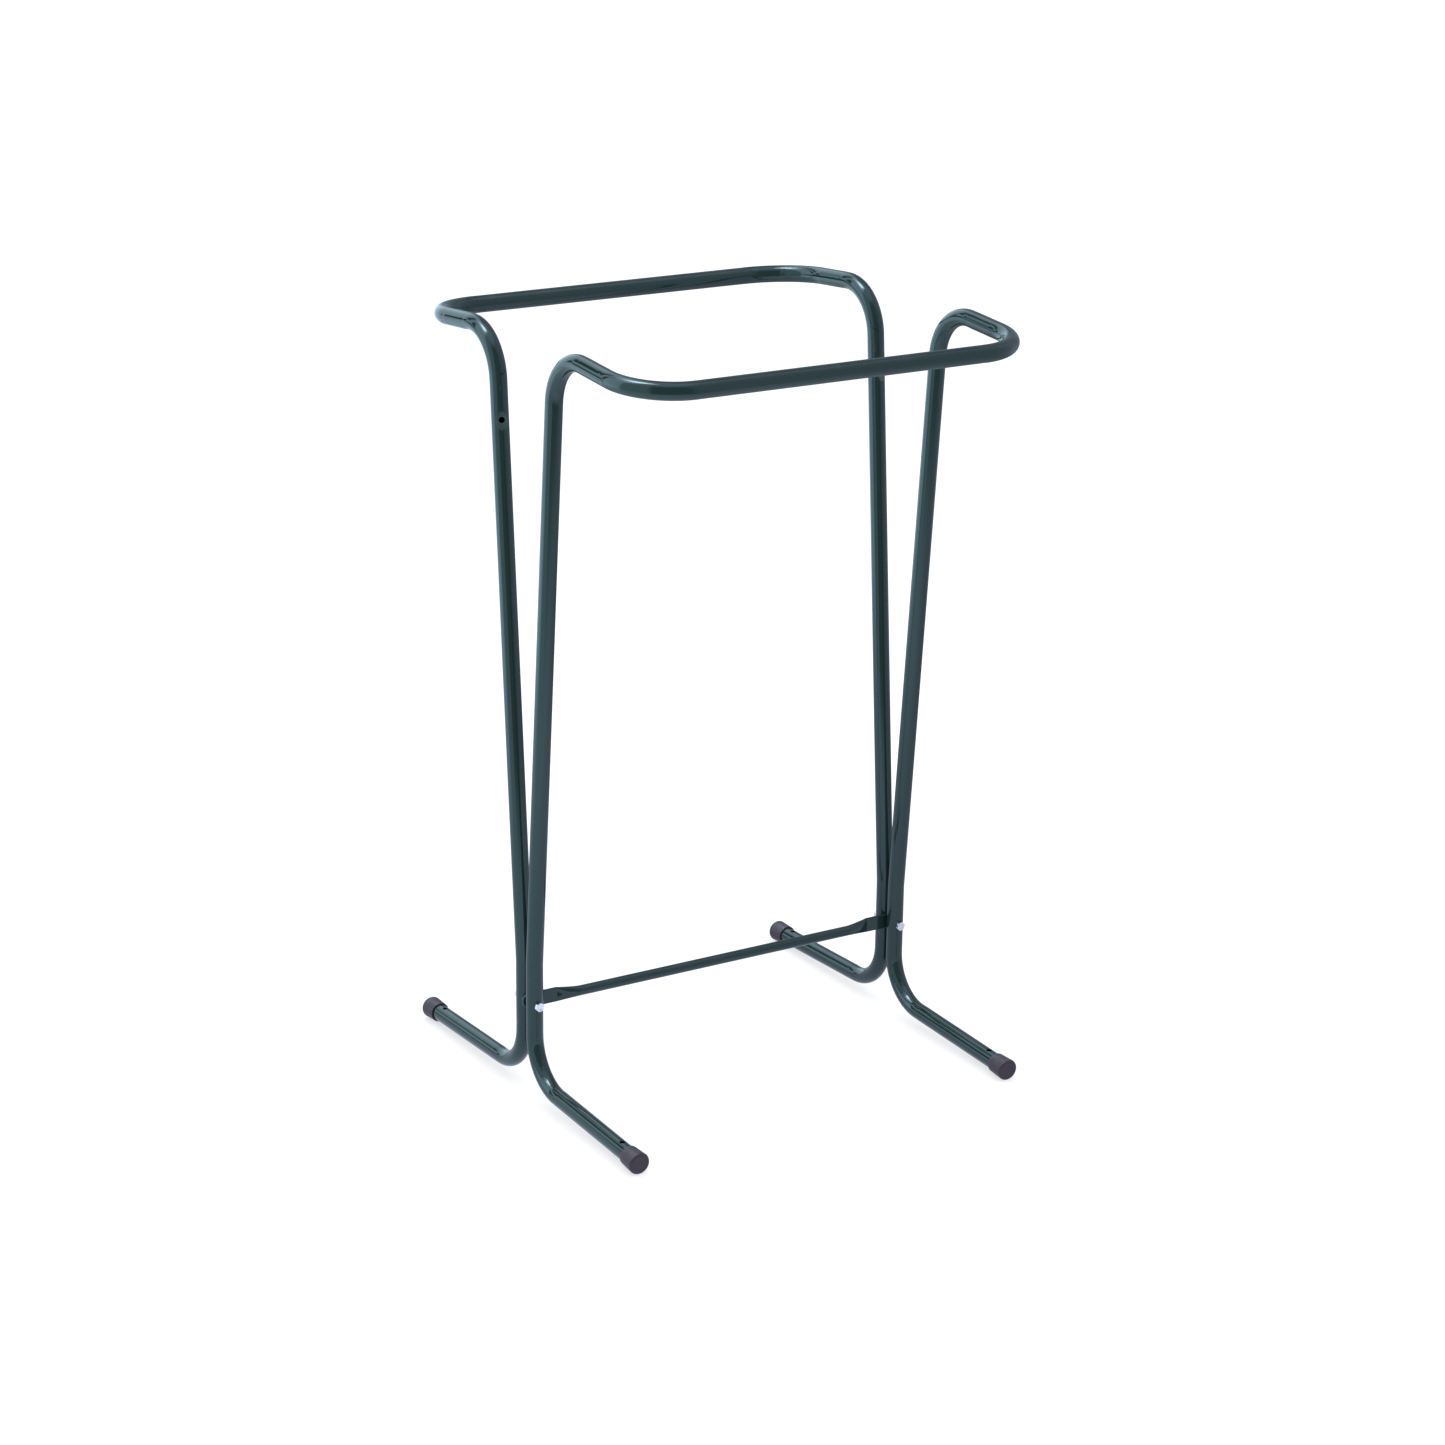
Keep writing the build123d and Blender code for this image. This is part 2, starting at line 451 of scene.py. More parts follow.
finishes = {
    "green": markedFinish("greenCoating", coatingLook),
    "zinc": markedFinish("brightZinc", zincLook),
    "plastic": markedFinish("capPlastic", plasticLook),
}
print("finishes made")

# the height of the feet follows from the caps, so their sizes come before the tube's
capSizes = {
    "length": 25,
    "mouth": 23.5,
    "end": 26,
    "endWall": 3,
    "edge": 1.8,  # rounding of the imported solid, which the cap stands on
    "lip": 0.4,
    "bore": 20.2,
    "rounding": 3.2,
    "roundSteps": 12,
    "flankShares": (0.04, 0.35, 0.7, 0.97),
    "dishDepth": 0.35,
    "dishRadius": 8.4,
    "sides": 112,
}
tubeSizes = {
    "diameter": 20,
    "wall": 1.5,
    "sides": 56,
    "rimBend": 67,
    "topBend": 58,
    "kinkBend": 80,
    "footBend": 58,
    "straightStep": 15,
    "bendStep": 1.9,
    "bendLead": 10,
    "leastBendSteps": 6,
    "fineStep": 0.8,
    "stepGrowth": 0.45,
    "markedAngle": 0.5,  # radians; shallower bends stay smooth
    "bendFade": 9,
    "flattening": 0.02,
    "widening": 0.4,  # share of the flattening by which a bend grows sideways
    "wrinkleDepth": 0.08,
    "wrinkles": ((1.25, 1.0, 1.0), (0.83, 0.6, 2.1)),  # length, share and shift of each ripple
    "wrinkleRise": 0.7,
    "clampDepth": 0.04,
    "clampWidth": 2.6,
    "clampSetback": 4,
    "clampGroove": 5.5,
}
holeSizes = {
    "footRadius": 3.25,
    "footSetback": 39,
    "legRadius": 3.5,
    "legDrop": 107,
    "legTurn": 14,
    "boltRadius": 3.25,
    "edge": 0.25,
    "legEdge": 0.9,
    "dentDepth": 1.6,
    "dentRadius": 36,
    "dentSoftness": 0.35,
    "fineReach": 7,
    "dentReach": 14,
    "searchReach": 16,
    "evenedBand": 3.2,
    "eveningRounds": 12,
}

lean, fall = math.radians(stand["legLean"]), math.radians(stand["footFall"])
tubeRadius = tubeSizes["diameter"] / 2
legOffset = tubeRadius + stand["barThickness"] / 2
legX = stand["legSpacing"] / 2
legHoleZ = stand["height"] - holeSizes["legDrop"]
capTaper = (capSizes["end"] - capSizes["mouth"]) / 2 / capSizes["length"]
capRing = capSizes["end"] / 2 - capSizes["edge"] * (capTaper + math.hypot(1, capTaper))
footTipZ = capRing * math.cos(fall) + capSizes["edge"] * (1 - math.sin(fall))
footCornerZ = footTipZ + (stand["footReach"] - legOffset) * math.tan(fall)
topRise = tubeSizes["topBend"] * (math.cos(lean) + math.sin(lean) - 1)
topCornerZ = stand["height"] - tubeRadius + topRise
topCornerY = legOffset + (topCornerZ - stand["kinkHeight"]) * math.tan(lean)
rimZ = topCornerZ - (stand["rimReach"] - topCornerY) * math.tan(lean)


def footPoint(side, setback):
    return Vector((side * legX, setback * math.cos(fall) - stand["footReach"],
                   footTipZ + setback * math.sin(fall)))


def legPoint(side, height):
    leanedOut = max(0, height - stand["kinkHeight"]) * math.tan(lean)
    return Vector((side * legX, -legOffset - leanedOut, height))


def straightSteps(length, zones, sizes):
    # steps are short near each zone and grow away from it
    marks = [0.0]
    while marks[-1] < length:
        step = sizes["straightStep"]
        for middle, reach, fine in zones:
            gap = abs(marks[-1] - middle) - reach
            step = min(step, fine + max(0.0, gap - fine) * sizes["stepGrowth"])
        marks.append(marks[-1] + step)
    return [m * length / marks[-1] for m in marks]


def inwardAt(bend, turn):
    return bend["inward"] * math.cos(turn) - bend["way"] * math.sin(turn)


def walkPath(corners, radii, zonesOf, sizes):
    # stations along the straight runs and round the bends between them
    runs = [last - first for first, last in zip(corners, corners[1:])]
    angles = [after.angle(before) for before, after in zip(runs, runs[1:])]
    cuts = [0.0] + [r * math.tan(a / 2) for r, a in zip(radii, angles)] + [0.0]
    places, distances, bends = [], [], []
    travelled = 0.0
    for k, run in enumerate(runs):
        way = run.normalized()
        first, last = corners[k] + way * cuts[k], corners[k + 1] - way * cuts[k + 1]
        length = (last - first).length
        zones = [((point - first).dot(way), reach, sizes["fineStep"])
                 for point, reach in zonesOf.get(k, [])]
        if k > 0:
            zones.append((0.0, sizes["bendLead"], sizes["bendStep"]))
        if k < len(radii):
            zones.append((length, sizes["bendLead"], sizes["bendStep"]))
        for along in straightSteps(length, zones, sizes):
            places.append(first + way * along)
            distances.append(travelled + along)
        travelled += length
        if k < len(radii):
            nextWay = runs[k + 1].normalized()
            radius, angle = radii[k], angles[k]
            inward = (nextWay - way * nextWay.dot(way)).normalized()
            bend = {"start": travelled, "radius": radius, "angle": angle,
                    "way": way, "inward": inward}
            bends.append(bend)
            centre = last + inward * radius
            count = max(sizes["leastBendSteps"], math.ceil(radius * angle / sizes["bendStep"]))
            for step in range(1, count):
                turn = angle * step / count
                places.append(centre - inwardAt(bend, turn) * radius)
                distances.append(travelled + radius * turn)
            travelled += radius * angle
    return places, distances, bends


def softStep(value):
    value = min(1.0, max(0.0, value))
    return value * value * (3 - 2 * value)


def bendMarks(distances, bends, sizes):
    # how bending shows at each station: the way to the bend's middle, ripples, clamp marks
    width, setback, groove = (sizes[k] for k in ("clampWidth", "clampSetback", "clampGroove"))
    marks = []
    for distance in distances:
        inward, ripple, clamp = Vector((0, 0, 0)), 0.0, 0.0
        for number, bend in enumerate(bends):
            if bend["angle"] < sizes["markedAngle"]:
                continue
            length = bend["radius"] * bend["angle"]
            into = distance - bend["start"]
            outside = max(-into, into - length, 0.0)
            if outside < sizes["bendFade"]:
                strength = softStep(1 - outside / sizes["bendFade"])
                turn = min(max(into, 0.0), length) / bend["radius"]
                inward = inwardAt(bend, turn) * strength
                share = min(max(into / length, 0.0), 1.0)
                ripple = math.sin(math.pi * share) ** sizes["wrinkleRise"] * sum(
                    part * math.sin(into / wave + shift * number)
                    for wave, part, shift in sizes["wrinkles"])
            for edge in (-setback, length + setback):
                clamp += math.exp(-((into - edge) / width) ** 2)
                clamp -= 0.5 * math.exp(-((into - edge - groove) / width) ** 2)
        marks.append((inward, ripple, clamp))
    return zip(*marks)


def bothHalves(values):
    # the left half is the right half mirrored, and the rim's middle is there once
    mirrored = [Vector((-v[0], v[1], v[2])) if isinstance(v, Vector) else v for v in values[1:]]
    return mirrored[::-1] + list(values)


halfCorners = [
    Vector((0, -stand["rimReach"], rimZ)),
    Vector((legX, -stand["rimReach"], rimZ)),
    Vector((legX, -topCornerY, topCornerZ)),
    Vector((legX, -legOffset, stand["kinkHeight"])),
    Vector((legX, -legOffset, footCornerZ)),
    footPoint(1, capSizes["endWall"]),
]
bendRadii = [tubeSizes[k] for k in ("rimBend", "topBend", "kinkBend", "footBend")]
fineZones = {
    2: [(legPoint(1, legHoleZ), holeSizes["dentReach"])],
    3: [(legPoint(1, stand["boltHeight"]), holeSizes["fineReach"])],
    4: [(footPoint(1, holeSizes["footSetback"]), holeSizes["fineReach"])],
}
halfPlaces, halfDistances, halfBends = walkPath(halfCorners, bendRadii, fineZones, tubeSizes)
tubePlaces, tubeInwards, tubeRipples, tubeClamps = map(
    bothHalves, (halfPlaces, *bendMarks(halfDistances, halfBends, tubeSizes)))
print("tube path has", len(tubePlaces), "stations")


def pathMesh(name, places, stored):
    # an open line of points, with the values that its tree reads at each
    mesh = bpy.data.meshes.new(name)
    edges = [(k, k + 1) for k in range(len(places) - 1)]
    mesh.from_pydata([tuple(p * mm) for p in places], edges, [])
    for label, values in {"stationCentre": [p * mm for p in places], **stored}.items():
        kind, field = "FLOAT", "value"
        if isinstance(values[0], Vector):
            kind, field, values = "FLOAT_VECTOR", "vector", [tuple(v) for v in values]
        attribute = mesh.attributes.new(label, kind, "POINT")
        attribute.data.foreach_set(field, np.array(values, np.float32).ravel())
    return mesh


def sweptTree(name, sizes):
    # a circle swept along the path, and the way from each station's centre to each point
    inputs = {"Geometry": ("Geometry",), "Radius": ("Float", 0.01), "Sides": ("Int", 56)}
    inputs.update((label, ("Float", size)) for label, size in sizes.items())
    inputs["Finish"] = ("Material",)
    tree, given = newTree(name, "GeometryNodeTree", inputs, {"Geometry": "Geometry"})
    curve = addNode(tree, "GeometryNodeMeshToCurve", {"Mesh": given["Geometry"]})
    circle = addNode(tree, "GeometryNodeCurvePrimitiveCircle", {
        "Resolution": given["Sides"], "Radius": given["Radius"]})
    swept = addNode(tree, "GeometryNodeCurveToMesh", {
        "Curve": curve.outputs["Curve"], "Profile Curve": circle.outputs["Curve"]})
    here = addNode(tree, "GeometryNodeInputPosition").outputs["Position"]
    centre = storedValue(tree, "stationCentre", "FLOAT_VECTOR")
    radial = vectorCalc(tree, "NORMALIZE", vectorCalc(tree, "SUBTRACT", here, centre))
    return tree, given, swept.outputs["Mesh"], radial


def finishTree(tree, given, swept, moves):
    moved = addNode(tree, "GeometryNodeSetPosition", {"Geometry": swept, **moves})
    smooth = addNode(tree, "GeometryNodeSetShadeSmooth", {"Geometry": moved.outputs["Geometry"]})
    real = addNode(tree, "GeometryNodeRealizeInstances", {"Geometry": smooth.outputs["Geometry"]})
    painted = addNode(tree, "GeometryNodeSetMaterial", {
        "Geometry": real.outputs["Geometry"], "Material": given["Finish"]})
    return putOut(tree, {"Geometry": painted.outputs["Geometry"]})


def gridOf(swept, stations):
    # the swept points as stations by sides by coordinates, in millimetres
    grid = np.zeros(len(swept.vertices) * 3)
    swept.vertices.foreach_get("co", grid)
    return grid.reshape(stations, -1, 3) / mm


def bentTubeTree():
    tree, given, swept, radial = sweptTree(
        "bentTube", {"Flattening": 0.02, "Wrinkle Depth": 0.0001, "Clamp Depth": 0.0001})
    inward = storedValue(tree, "inward", "FLOAT_VECTOR")
    side = vectorCalc(tree, "DOT_PRODUCT", radial, inward)
    sideSquare = times(tree, side, side)
    strengthSquare = calc(tree, "POWER", vectorCalc(tree, "LENGTH", inward), 2.0)
    widening = times(tree, minus(tree, strengthSquare, sideSquare), tubeSizes["widening"])
    ovalDepth = times(tree, minus(tree, widening, sideSquare),
                      times(tree, given["Radius"], given["Flattening"]))
    innerSide = calc(tree, "POWER", calc(tree, "MAXIMUM", side, 0.0), 3.0)
    rippleDepth = times(tree, times(tree, innerSide, storedValue(tree, "ripple")),
                        given["Wrinkle Depth"])
    clampDepth = times(tree, storedValue(tree, "clampMark"),
                       times(tree, given["Clamp Depth"], -1.0))
    total = calc(tree, "ADD", calc(tree, "ADD", ovalDepth, rippleDepth), clampDepth)
    return finishTree(tree, given, swept, {"Offset": scaled(tree, radial, total)})


bentTube = bentTubeTree()


def tubeGrid(radius, name):
    mesh = pathMesh(name + "Path", tubePlaces, {
        "inward": tubeInwards, "ripple": tubeRipples, "clampMark": tubeClamps})
    return gridOf(runTree(bentTube, mesh, name, {
        "Radius": radius * mm,
        "Sides": tubeSizes["sides"],
        "Flattening": tubeSizes["flattening"],
        "Wrinkle Depth": tubeSizes["wrinkleDepth"] * mm,
        "Clamp Depth": tubeSizes["clampDepth"] * mm,
        "Finish": finishes["green"],
    }), len(tubePlaces))


def unit(vector):
    vector = np.array(vector, float)
    return vector / np.linalg.norm(vector)


def softMin(first, second, softness):
    return 0.5 * (first + second - math.hypot(first - second, softness))


def makeHole(centre, tangent, direction, radius, edge=holeSizes["edge"], walls=(1, -1), dent=False):
    # direction points out of the hole, tangent along the tube
    tangent, direction = unit(tangent), unit(direction)
    across = unit(np.cross(tangent, direction))
    return {
        "centre": np.array(centre), "direction": direction,
        "across": across, "along": unit(np.cross(across, direction)),
        "upright": unit(direction - np.dot(direction, tangent) * tangent),
        "radius": radius, "edge": edge, "walls": walls, "dent": dent,
    }


def spotAt(hole, a, b, level):
    return hole["centre"] + hole["along"] * a + hole["across"] * b + hole["direction"] * level


def tubeSurface(hole, radius, sign, wall):
    # height of the tube's skin over the plane across the hole, pressed in where it has a dent
    tilt = np.dot(hole["along"], hole["upright"])
    rise = np.dot(hole["direction"], hole["upright"])

    def height(a, b):
        plain = (sign * math.sqrt(max(radius**2 - b**2, 0.0)) - a * tilt) / rise
        if not hole["dent"]:
            return plain
        ball = holeSizes["dentRadius"]
        bulge = math.sqrt(max((ball + wall)**2 - a**2 - b**2, 0.0))
        pressed = tubeRadius - holeSizes["dentDepth"] + ball - bulge
        return softMin(plain, pressed, holeSizes["dentSoftness"])

    return height


def flatSurface(level):
    def height(a, b):
        return level

    return height


def faceCorners(i, j, sides):
    return (i, j), (i, (j + 1) % sides), (i + 1, (j + 1) % sides), (i + 1, j)


def facesInside(hole, near, a, b):
    stations, sides = near.shape
    removed = set()
    for i in sorted(set(np.nonzero(near)[0])):
        for j in range(sides):
            corners = faceCorners(i, j, sides)
            if all(c[0] < stations and near[c] for c in corners):
                middle = np.mean([(a[c], b[c]) for c in corners], axis=0)
                if math.hypot(*middle) < hole["radius"]:
                    removed.add((i, j))
    return removed


def cutRound(grid, hole, sign, height, removed=None):
    # takes away the faces inside the hole and draws the edge of what is left onto its circle
    sides = grid.shape[1]
    relative = grid - hole["centre"]
    a, b, w = (relative @ hole[k] for k in ("along", "across", "direction"))
    near = np.hypot(a, b) < holeSizes["searchReach"]
    near &= (w * sign > 0) & (w * sign < tubeSizes["diameter"])
    if removed is None:
        removed = facesInside(hole, near, a, b)
    used = {}
    for face in removed:
        for c in faceCorners(*face, sides):
            used[c] = used.get(c, 0) + 1
    inside = {c for c, count in used.items() if count == 4}
    border = [c for c, count in used.items() if count < 4]
    border.sort(key=lambda c: math.atan2(b[c], a[c]))
    ringRadius = hole["radius"] + hole["edge"]
    start = math.atan2(b[border[0]], a[border[0]])
    flat = {}
    for number, c in enumerate(border):
        turn = start + 2 * math.pi * number / len(border)
        flat[c] = (ringRadius * math.cos(turn), ringRadius * math.sin(turn))
    # points close round the hole are evened out, the others keep their places
    around = [c for c in map(tuple, np.argwhere(near)) if c not in flat and c not in inside]
    band = ringRadius + holeSizes["evenedBand"]
    loose = [c for c in around if math.hypot(a[c], b[c]) < band]
    flat.update((c, (a[c], b[c])) for c in around)
    for _ in range(holeSizes["eveningRounds"]):
        moved = {}
        for i, j in loose:
            beside = ((i - 1, j), (i + 1, j), (i, (j - 1) % sides), (i, (j + 1) % sides))
            if all(c in flat for c in beside):
                moved[(i, j)] = tuple(np.mean([flat[c] for c in beside], axis=0))
        flat.update(moved)
    shifted = set(border) | set(loose)
    for c, (ca, cb) in flat.items():
        if c in shifted or hole["dent"]:
            grid[c] = spotAt(hole, ca, cb, height(ca, cb))
    return removed, border, [flat[c] for c in border]


def edgeRings(hole, spots, heights, signs):
    # rings from one skin to the other: rounded edge, straight wall, rounded edge
    midway = 0.293  # share of its radius that a round edge has dropped half way round
    steps = [(midway, midway), (0.0, 1.0)]
    rings = []
    for height, sign, way in zip(heights, signs, (1, -1)):
        for outset, depth in steps[::way]:
            ring = []
            for a, b in spots:
                shrink = (hole["radius"] + hole["edge"] * outset) / math.hypot(a, b)
                ca, cb = a * shrink, b * shrink
                level = height(ca, cb) - sign * hole["edge"] * depth
                ring.append(spotAt(hole, ca, cb, level))
            rings.append(ring)
    return rings


def liningFaces(firstLoop, rings, lastLoop, extra, extraStart):
    # strips of faces from one skin's edge through the rings to the other's
    loops = [firstLoop]
    for ring in rings:
        loops.append([extraStart + len(extra) + k for k in range(len(ring))])
        extra.extend(ring)
    loops.append(lastLoop)
    return [face for pair in zip(loops, loops[1:]) for face in stripFaces(*pair)]


def gridFaces(stations, sides, offset, skipped):
    return [
        tuple(offset + row * sides + column for row, column in faceCorners(i, j, sides))
        for i in range(stations - 1) for j in range(sides) if (i, j) not in skipped
    ]


def frameHoles():
    turn = math.radians(holeSizes["legTurn"])
    holes = []
    for side in (-1, 1):
        legWay = (0, -math.sin(lean), math.cos(lean))
        facing = (side * math.sin(turn), math.cos(turn) * math.cos(lean),
                  math.cos(turn) * math.sin(lean))
        holes.append(makeHole(legPoint(side, legHoleZ), legWay, facing, holeSizes["legRadius"],
                              edge=holeSizes["legEdge"], walls=(1,), dent=True))
        holes.append(makeHole(footPoint(side, holeSizes["footSetback"]),
                              (0, math.cos(fall), math.sin(fall)), (0, 0, 1),
                              holeSizes["footRadius"]))
        holes.append(makeHole(legPoint(side, stand["boltHeight"]), (0, 0, 1), (0, -1, 0),
                              holeSizes["boltRadius"]))
    return holes


def frameMesh():
    innerRadius = tubeRadius - tubeSizes["wall"]
    outer, inner = tubeGrid(tubeRadius, "outerSkin"), tubeGrid(innerRadius, "innerSkin")
    stations, sides = outer.shape[:2]
    innerStart = stations * sides
    skipped, strips, extra = set(), [], []
    for hole in frameHoles():
        for sign in hole["walls"]:
            heights = (tubeSurface(hole, tubeRadius, sign, 0),
                       tubeSurface(hole, innerRadius, sign, tubeSizes["wall"]))
            removed, border, spots = cutRound(outer, hole, sign, heights[0])
            cutRound(inner, hole, sign, heights[1], removed)
            skipped |= removed
            outerLoop = [i * sides + j for i, j in border]
            innerLoop = [innerStart + point for point in outerLoop]
            rings = edgeRings(hole, spots, heights, (sign, -sign))
            strips += liningFaces(outerLoop, rings, innerLoop, extra, 2 * innerStart)
    for end in (0, stations - 1):  # the wall's open ends
        outerLoop = [end * sides + j for j in range(sides)]
        strips += stripFaces(outerLoop, [innerStart + point for point in outerLoop])
    faces = gridFaces(stations, sides, 0, skipped) + gridFaces(stations, sides, innerStart, skipped)
    points = np.vstack([outer.reshape(-1, 3), inner.reshape(-1, 3), np.array(extra)]) * mm
    return closedShell("frameTube", [plainMesh("frameGrid", points, faces + strips)])


frontMesh = frameMesh()
rearMesh = frontMesh.copy()
rearMesh.transform(Matrix.Rotation(math.pi, 4, "Z"))
pieces = {
    "front_frame": shownPiece("frontFrameTube", frontMesh, finishes["green"]),
    "rear_frame": shownPiece("rearFrameTube", rearMesh, finishes["green"]),
}
print("frames bent,", len(frontMesh.polygons), "faces each")

# crossbar: a smaller tube with its ends pressed flat
barSizes = {
    "diameter": 12,
    "height": 18,
    "flatRun": 34,
    "blendRun": 30,
    "endReach": 10,
    "nose": 1.5,
    "sides": 64,
    "blendCurve": 1.3,
    "roundStations": 12,
    "blendStations": 25,
    "creaseRun": 4,
    "creaseStep": 1.0,
    "flatStep": 2.0,
    "holeRun": 5,
    "holeStep": 0.7,
    "endRun": 4,
    "endStations": 14,
}


def barStations(sizes):
    # from the middle to one end, closer together where the shape changes, then mirrored
    end, crease = legX + sizes["endReach"], legX - sizes["flatRun"]
    roundEnd, flatStart = crease - sizes["blendRun"], crease + sizes["creaseRun"]
    holeStart, endStart = legX - sizes["holeRun"], end - sizes["endRun"]
    marks = list(np.linspace(0, roundEnd, sizes["roundStations"])[:-1])
    marks += list(np.linspace(roundEnd, crease, sizes["blendStations"]))
    marks += list(np.arange(crease + sizes["creaseStep"], flatStart, sizes["creaseStep"]))
    marks += list(np.arange(flatStart, holeStart, sizes["flatStep"]))
    marks += list(np.arange(holeStart, endStart, sizes["holeStep"]))
    marks += [end - sizes["endRun"] * math.cos(turn)
              for turn in np.linspace(0, math.pi / 2, sizes["endStations"])]
    return [-m for m in reversed(marks[1:])] + marks


def pressedBarTree():
    tree, given, swept, radialWay = sweptTree("pressedBar", {
        "Flat Thickness": 0.004, "Flat Height": 0.018, "Crease": 0.216, "Blend Run": 0.03,
        "Blend Curve": 1.3, "End": 0.26, "Nose": 0.0015})
    radial = splitOf(tree, radialWay)
    middle = splitOf(tree, storedValue(tree, "stationCentre", "FLOAT_VECTOR"))
    distance = calc(tree, "ABSOLUTE", middle["X"])
    blendStart = minus(tree, given["Crease"], given["Blend Run"])
    share = calc(tree, "DIVIDE", minus(tree, distance, blendStart), given["Blend Run"], clamp=True)
    pressed = calc(tree, "POWER", share, given["Blend Curve"])
    halfHeight = times(tree, given["Flat Height"], 0.5)
    halfThickness = times(tree, given["Flat Thickness"], 0.5)

    def rootOf(value):
        return calc(tree, "SQRT", calc(tree, "MAXIMUM", value, 0.0))

    def between(first, second):
        return timesPlus(tree, minus(tree, second, first), pressed, first)

    # the flat end is half a circle seen from the front, with a rounded edge all round
    endCentre = minus(tree, given["End"], halfHeight)
    beyond = calc(tree, "MAXIMUM", minus(tree, distance, endCentre), 0.0)
    beyondSquare = times(tree, beyond, beyond)
    reach = rootOf(minus(tree, times(tree, halfHeight, halfHeight), beyondSquare))
    flatZ = times(tree, radial["Z"], reach)
    fromMiddle = calc(tree, "SQRT", calc(tree, "ADD", beyondSquare, times(tree, flatZ, flatZ)))
    toEdge = calc(tree, "DIVIDE", minus(tree, halfHeight, fromMiddle), given["Nose"], clamp=True)
    away = minus(tree, 1.0, toEdge)
    bulge = rootOf(minus(tree, 1.0, times(tree, away, away)))
    facing = calc(tree, "SIGN", radial["Y"])
    flatY = times(tree, times(tree, facing, halfThickness), bulge)
    back = minus(tree, halfThickness, given["Radius"])
    roundY = timesPlus(tree, radial["Y"], given["Radius"], back)
    roundZ = times(tree, radial["Z"], given["Radius"])
    place = addNode(tree, "ShaderNodeCombineXYZ", {
        "X": middle["X"], "Y": between(roundY, flatY),
        "Z": calc(tree, "ADD", between(roundZ, flatZ), middle["Z"])})
    return finishTree(tree, given, swept, {"Position": place.outputs["Vector"]})


def crossbarMesh(sizes):
    centres = [Vector((x, 0, stand["boltHeight"])) for x in barStations(sizes)]
    grid = gridOf(runTree(pressedBarTree(), pathMesh("crossbarPath", centres, {}), "pressedBar", {
        "Radius": sizes["diameter"] / 2 * mm,
        "Sides": sizes["sides"],
        "Flat Thickness": stand["barThickness"] * mm,
        "Flat Height": sizes["height"] * mm,
        "Crease": (legX - sizes["flatRun"]) * mm,
        "Blend Run": sizes["blendRun"] * mm,
        "Blend Curve": sizes["blendCurve"],
        "End": (legX + sizes["endReach"]) * mm,
        "Nose": sizes["nose"] * mm,
        "Finish": finishes["green"],
    }), len(centres))
    stations, sides = grid.shape[:2]
    skipped, strips, extra = set(), [], []
    halfThickness = stand["barThickness"] / 2
    heights = flatSurface(halfThickness), flatSurface(-halfThickness)
    for side in (-1, 1):
        hole = makeHole((side * legX, 0, stand["boltHeight"]), (1, 0, 0), (0, -1, 0),
                        holeSizes["boltRadius"])
        loops = []
        for sign, height in zip((1, -1), heights):
            removed, border, spots = cutRound(grid, hole, sign, height)
            skipped |= removed
            loops.append([i * sides + j for i, j in border])
            if sign > 0:
                rings = edgeRings(hole, spots, heights, (1, -1))
        if len(loops[0]) != len(loops[1]):
            raise ValueError("the crossbar's two faces were cut unevenly")
        strips += liningFaces(loops[0], rings, loops[1], extra, stations * sides)
    points = np.vstack([grid.reshape(-1, 3), np.array(extra)]) * mm
    faces = gridFaces(stations, sides, 0, skipped) + strips
    return closedShell("crossbar", [plainMesh("crossbarGrid", points, faces)], 2e-6)


pieces["crossbar"] = shownPiece("pressedCrossbar", crossbarMesh(barSizes), finishes["green"])
print("crossbar pressed")


# bolts, nuts and caps are rings of points round one line
def turnedSolid(name, rings, sides, seat, outward, closed=False):
    # a ring is (radius, height over the seat), or a function of the angle that gives both
    level = Vector((1, 0, 0))
    raised = outward.cross(level)
    points, faces, loops = [], [], []
    for ring in rings:
        isPole = not callable(ring) and ring[0] == 0
        loops.append([])
        for k in range(1 if isPole else sides):
            angle = 2 * math.pi * k / sides
            radius, height = ring(angle) if callable(ring) else ring
            aside = level * (radius * math.cos(angle)) + raised * (radius * math.sin(angle))
            loops[-1].append(len(points))
            points.append((seat + aside + outward * height) * mm)
    for first, second in zip(loops, loops[1:] + (loops[:1] if closed else [])):
        faces += stripFaces(first, second)
    if not closed:
        faces += [tuple(loop) for loop in (loops[0], loops[-1]) if len(loop) > 1]
    return plainMesh(name, points, faces)


fastenerSizes = {
    "acrossFlats": 10,
    "headHeight": 4,
    "nutHeight": 5,
    "turn": 15,
    "chamfer": 0.8,
    "chamferSlope": 0.58,
    "cornerCut": 0.132,
    "cornerBlend": 0.06,
    "columns": 120,
    "dishDepth": 0.3,
    "dishRadius": 3.1,
    "shank": 6,
    "length": 50,
    "plainMarks": [-0.4, 0.0, 6.0, 12.0, 18.0, 24.0],
    "threadLength": 22,
    "threadLead": 0.5,
    "threadSides": 40,
    "stepsPerTurn": 9,
    "pitch": 1.0,
    "threadDepth": 0.45,
    "threadPlay": 0.02,
    "tipChamfer": 0.7,
    "nutBore": 6.2,
}


def cornerReach(sizes):
    return sizes["acrossFlats"] / 2 / math.cos(math.pi / 6)


def hexReach(angle, sizes):
    # distance from the middle to the hexagon's side, with slightly rounded corners
    within = (angle + math.pi / 6) % (math.pi / 3) - math.pi / 6
    sharp = sizes["acrossFlats"] / 2 / math.cos(within)
    return softMin(sharp, cornerReach(sizes) - sizes["cornerCut"], sizes["cornerBlend"])


def hexRing(sizes, inset, height, slope=0.0):
    # a ring along the hexagon, whose corners a chamfer draws down or up
    turn = math.radians(sizes["turn"])
    inner = cornerReach(sizes) - sizes["chamfer"]

    def ring(angle):
        reach = hexReach(angle - turn + math.pi / 6, sizes) - inset
        return reach, height + slope * max(0.0, reach - inner)

    return ring


